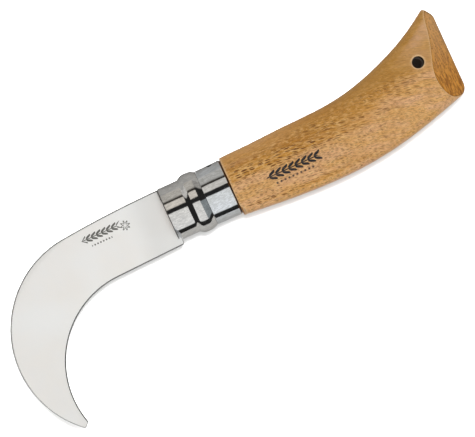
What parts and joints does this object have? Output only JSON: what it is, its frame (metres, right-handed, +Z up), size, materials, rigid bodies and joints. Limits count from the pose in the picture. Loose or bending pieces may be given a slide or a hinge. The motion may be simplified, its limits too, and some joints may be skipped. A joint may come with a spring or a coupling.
{
  "type": "folding hook knife",
  "caption": "Folding garden hook knife: sickle-shaped blade on a rivet in a slotted wooden handle, with a steel collar and a turning lock ring.",
  "frame": {"origin": "centre of the bounding box's bottom face, with the knife open and lying on its side", "axes": "+X along the collar's axis from the blade to the butt, +Y to the spine side of the blade, +Z up from the surface it lies on"},
  "size_m": [0.2182, 0.1002, 0.0262],
  "materials": {
    "handle_wood": "oiled beech, satin",
    "polished_steel": "polished stainless steel",
    "blade_steel": "fine satin stainless steel",
    "rivet_steel": "plain steel"
  },
  "bodies": {
    "handle_body": {"handle": "handle_wood", "fixed_collar": "polished_steel", "pivot_rivet": "rivet_steel"},
    "folding_blade": {"blade": "blade_steel"},
    "turning_ring": {"lock_ring": "polished_steel"}
  },
  "joints": [
    {"name": "blade_fold", "type": "hinge", "parent": "handle_body", "child": "folding_blade", "pos_m": [-0.02028, 0.01607, 0.0131], "axis": [0, 0, 1], "range_deg": [0, 145]},
    {"name": "lock_ring_turn", "type": "hinge", "parent": "handle_body", "child": "turning_ring", "pos_m": [-0.02028, 0.01607, 0.0131], "axis": [-1, 0, 0], "range_deg": [0, 45]}
  ]
}
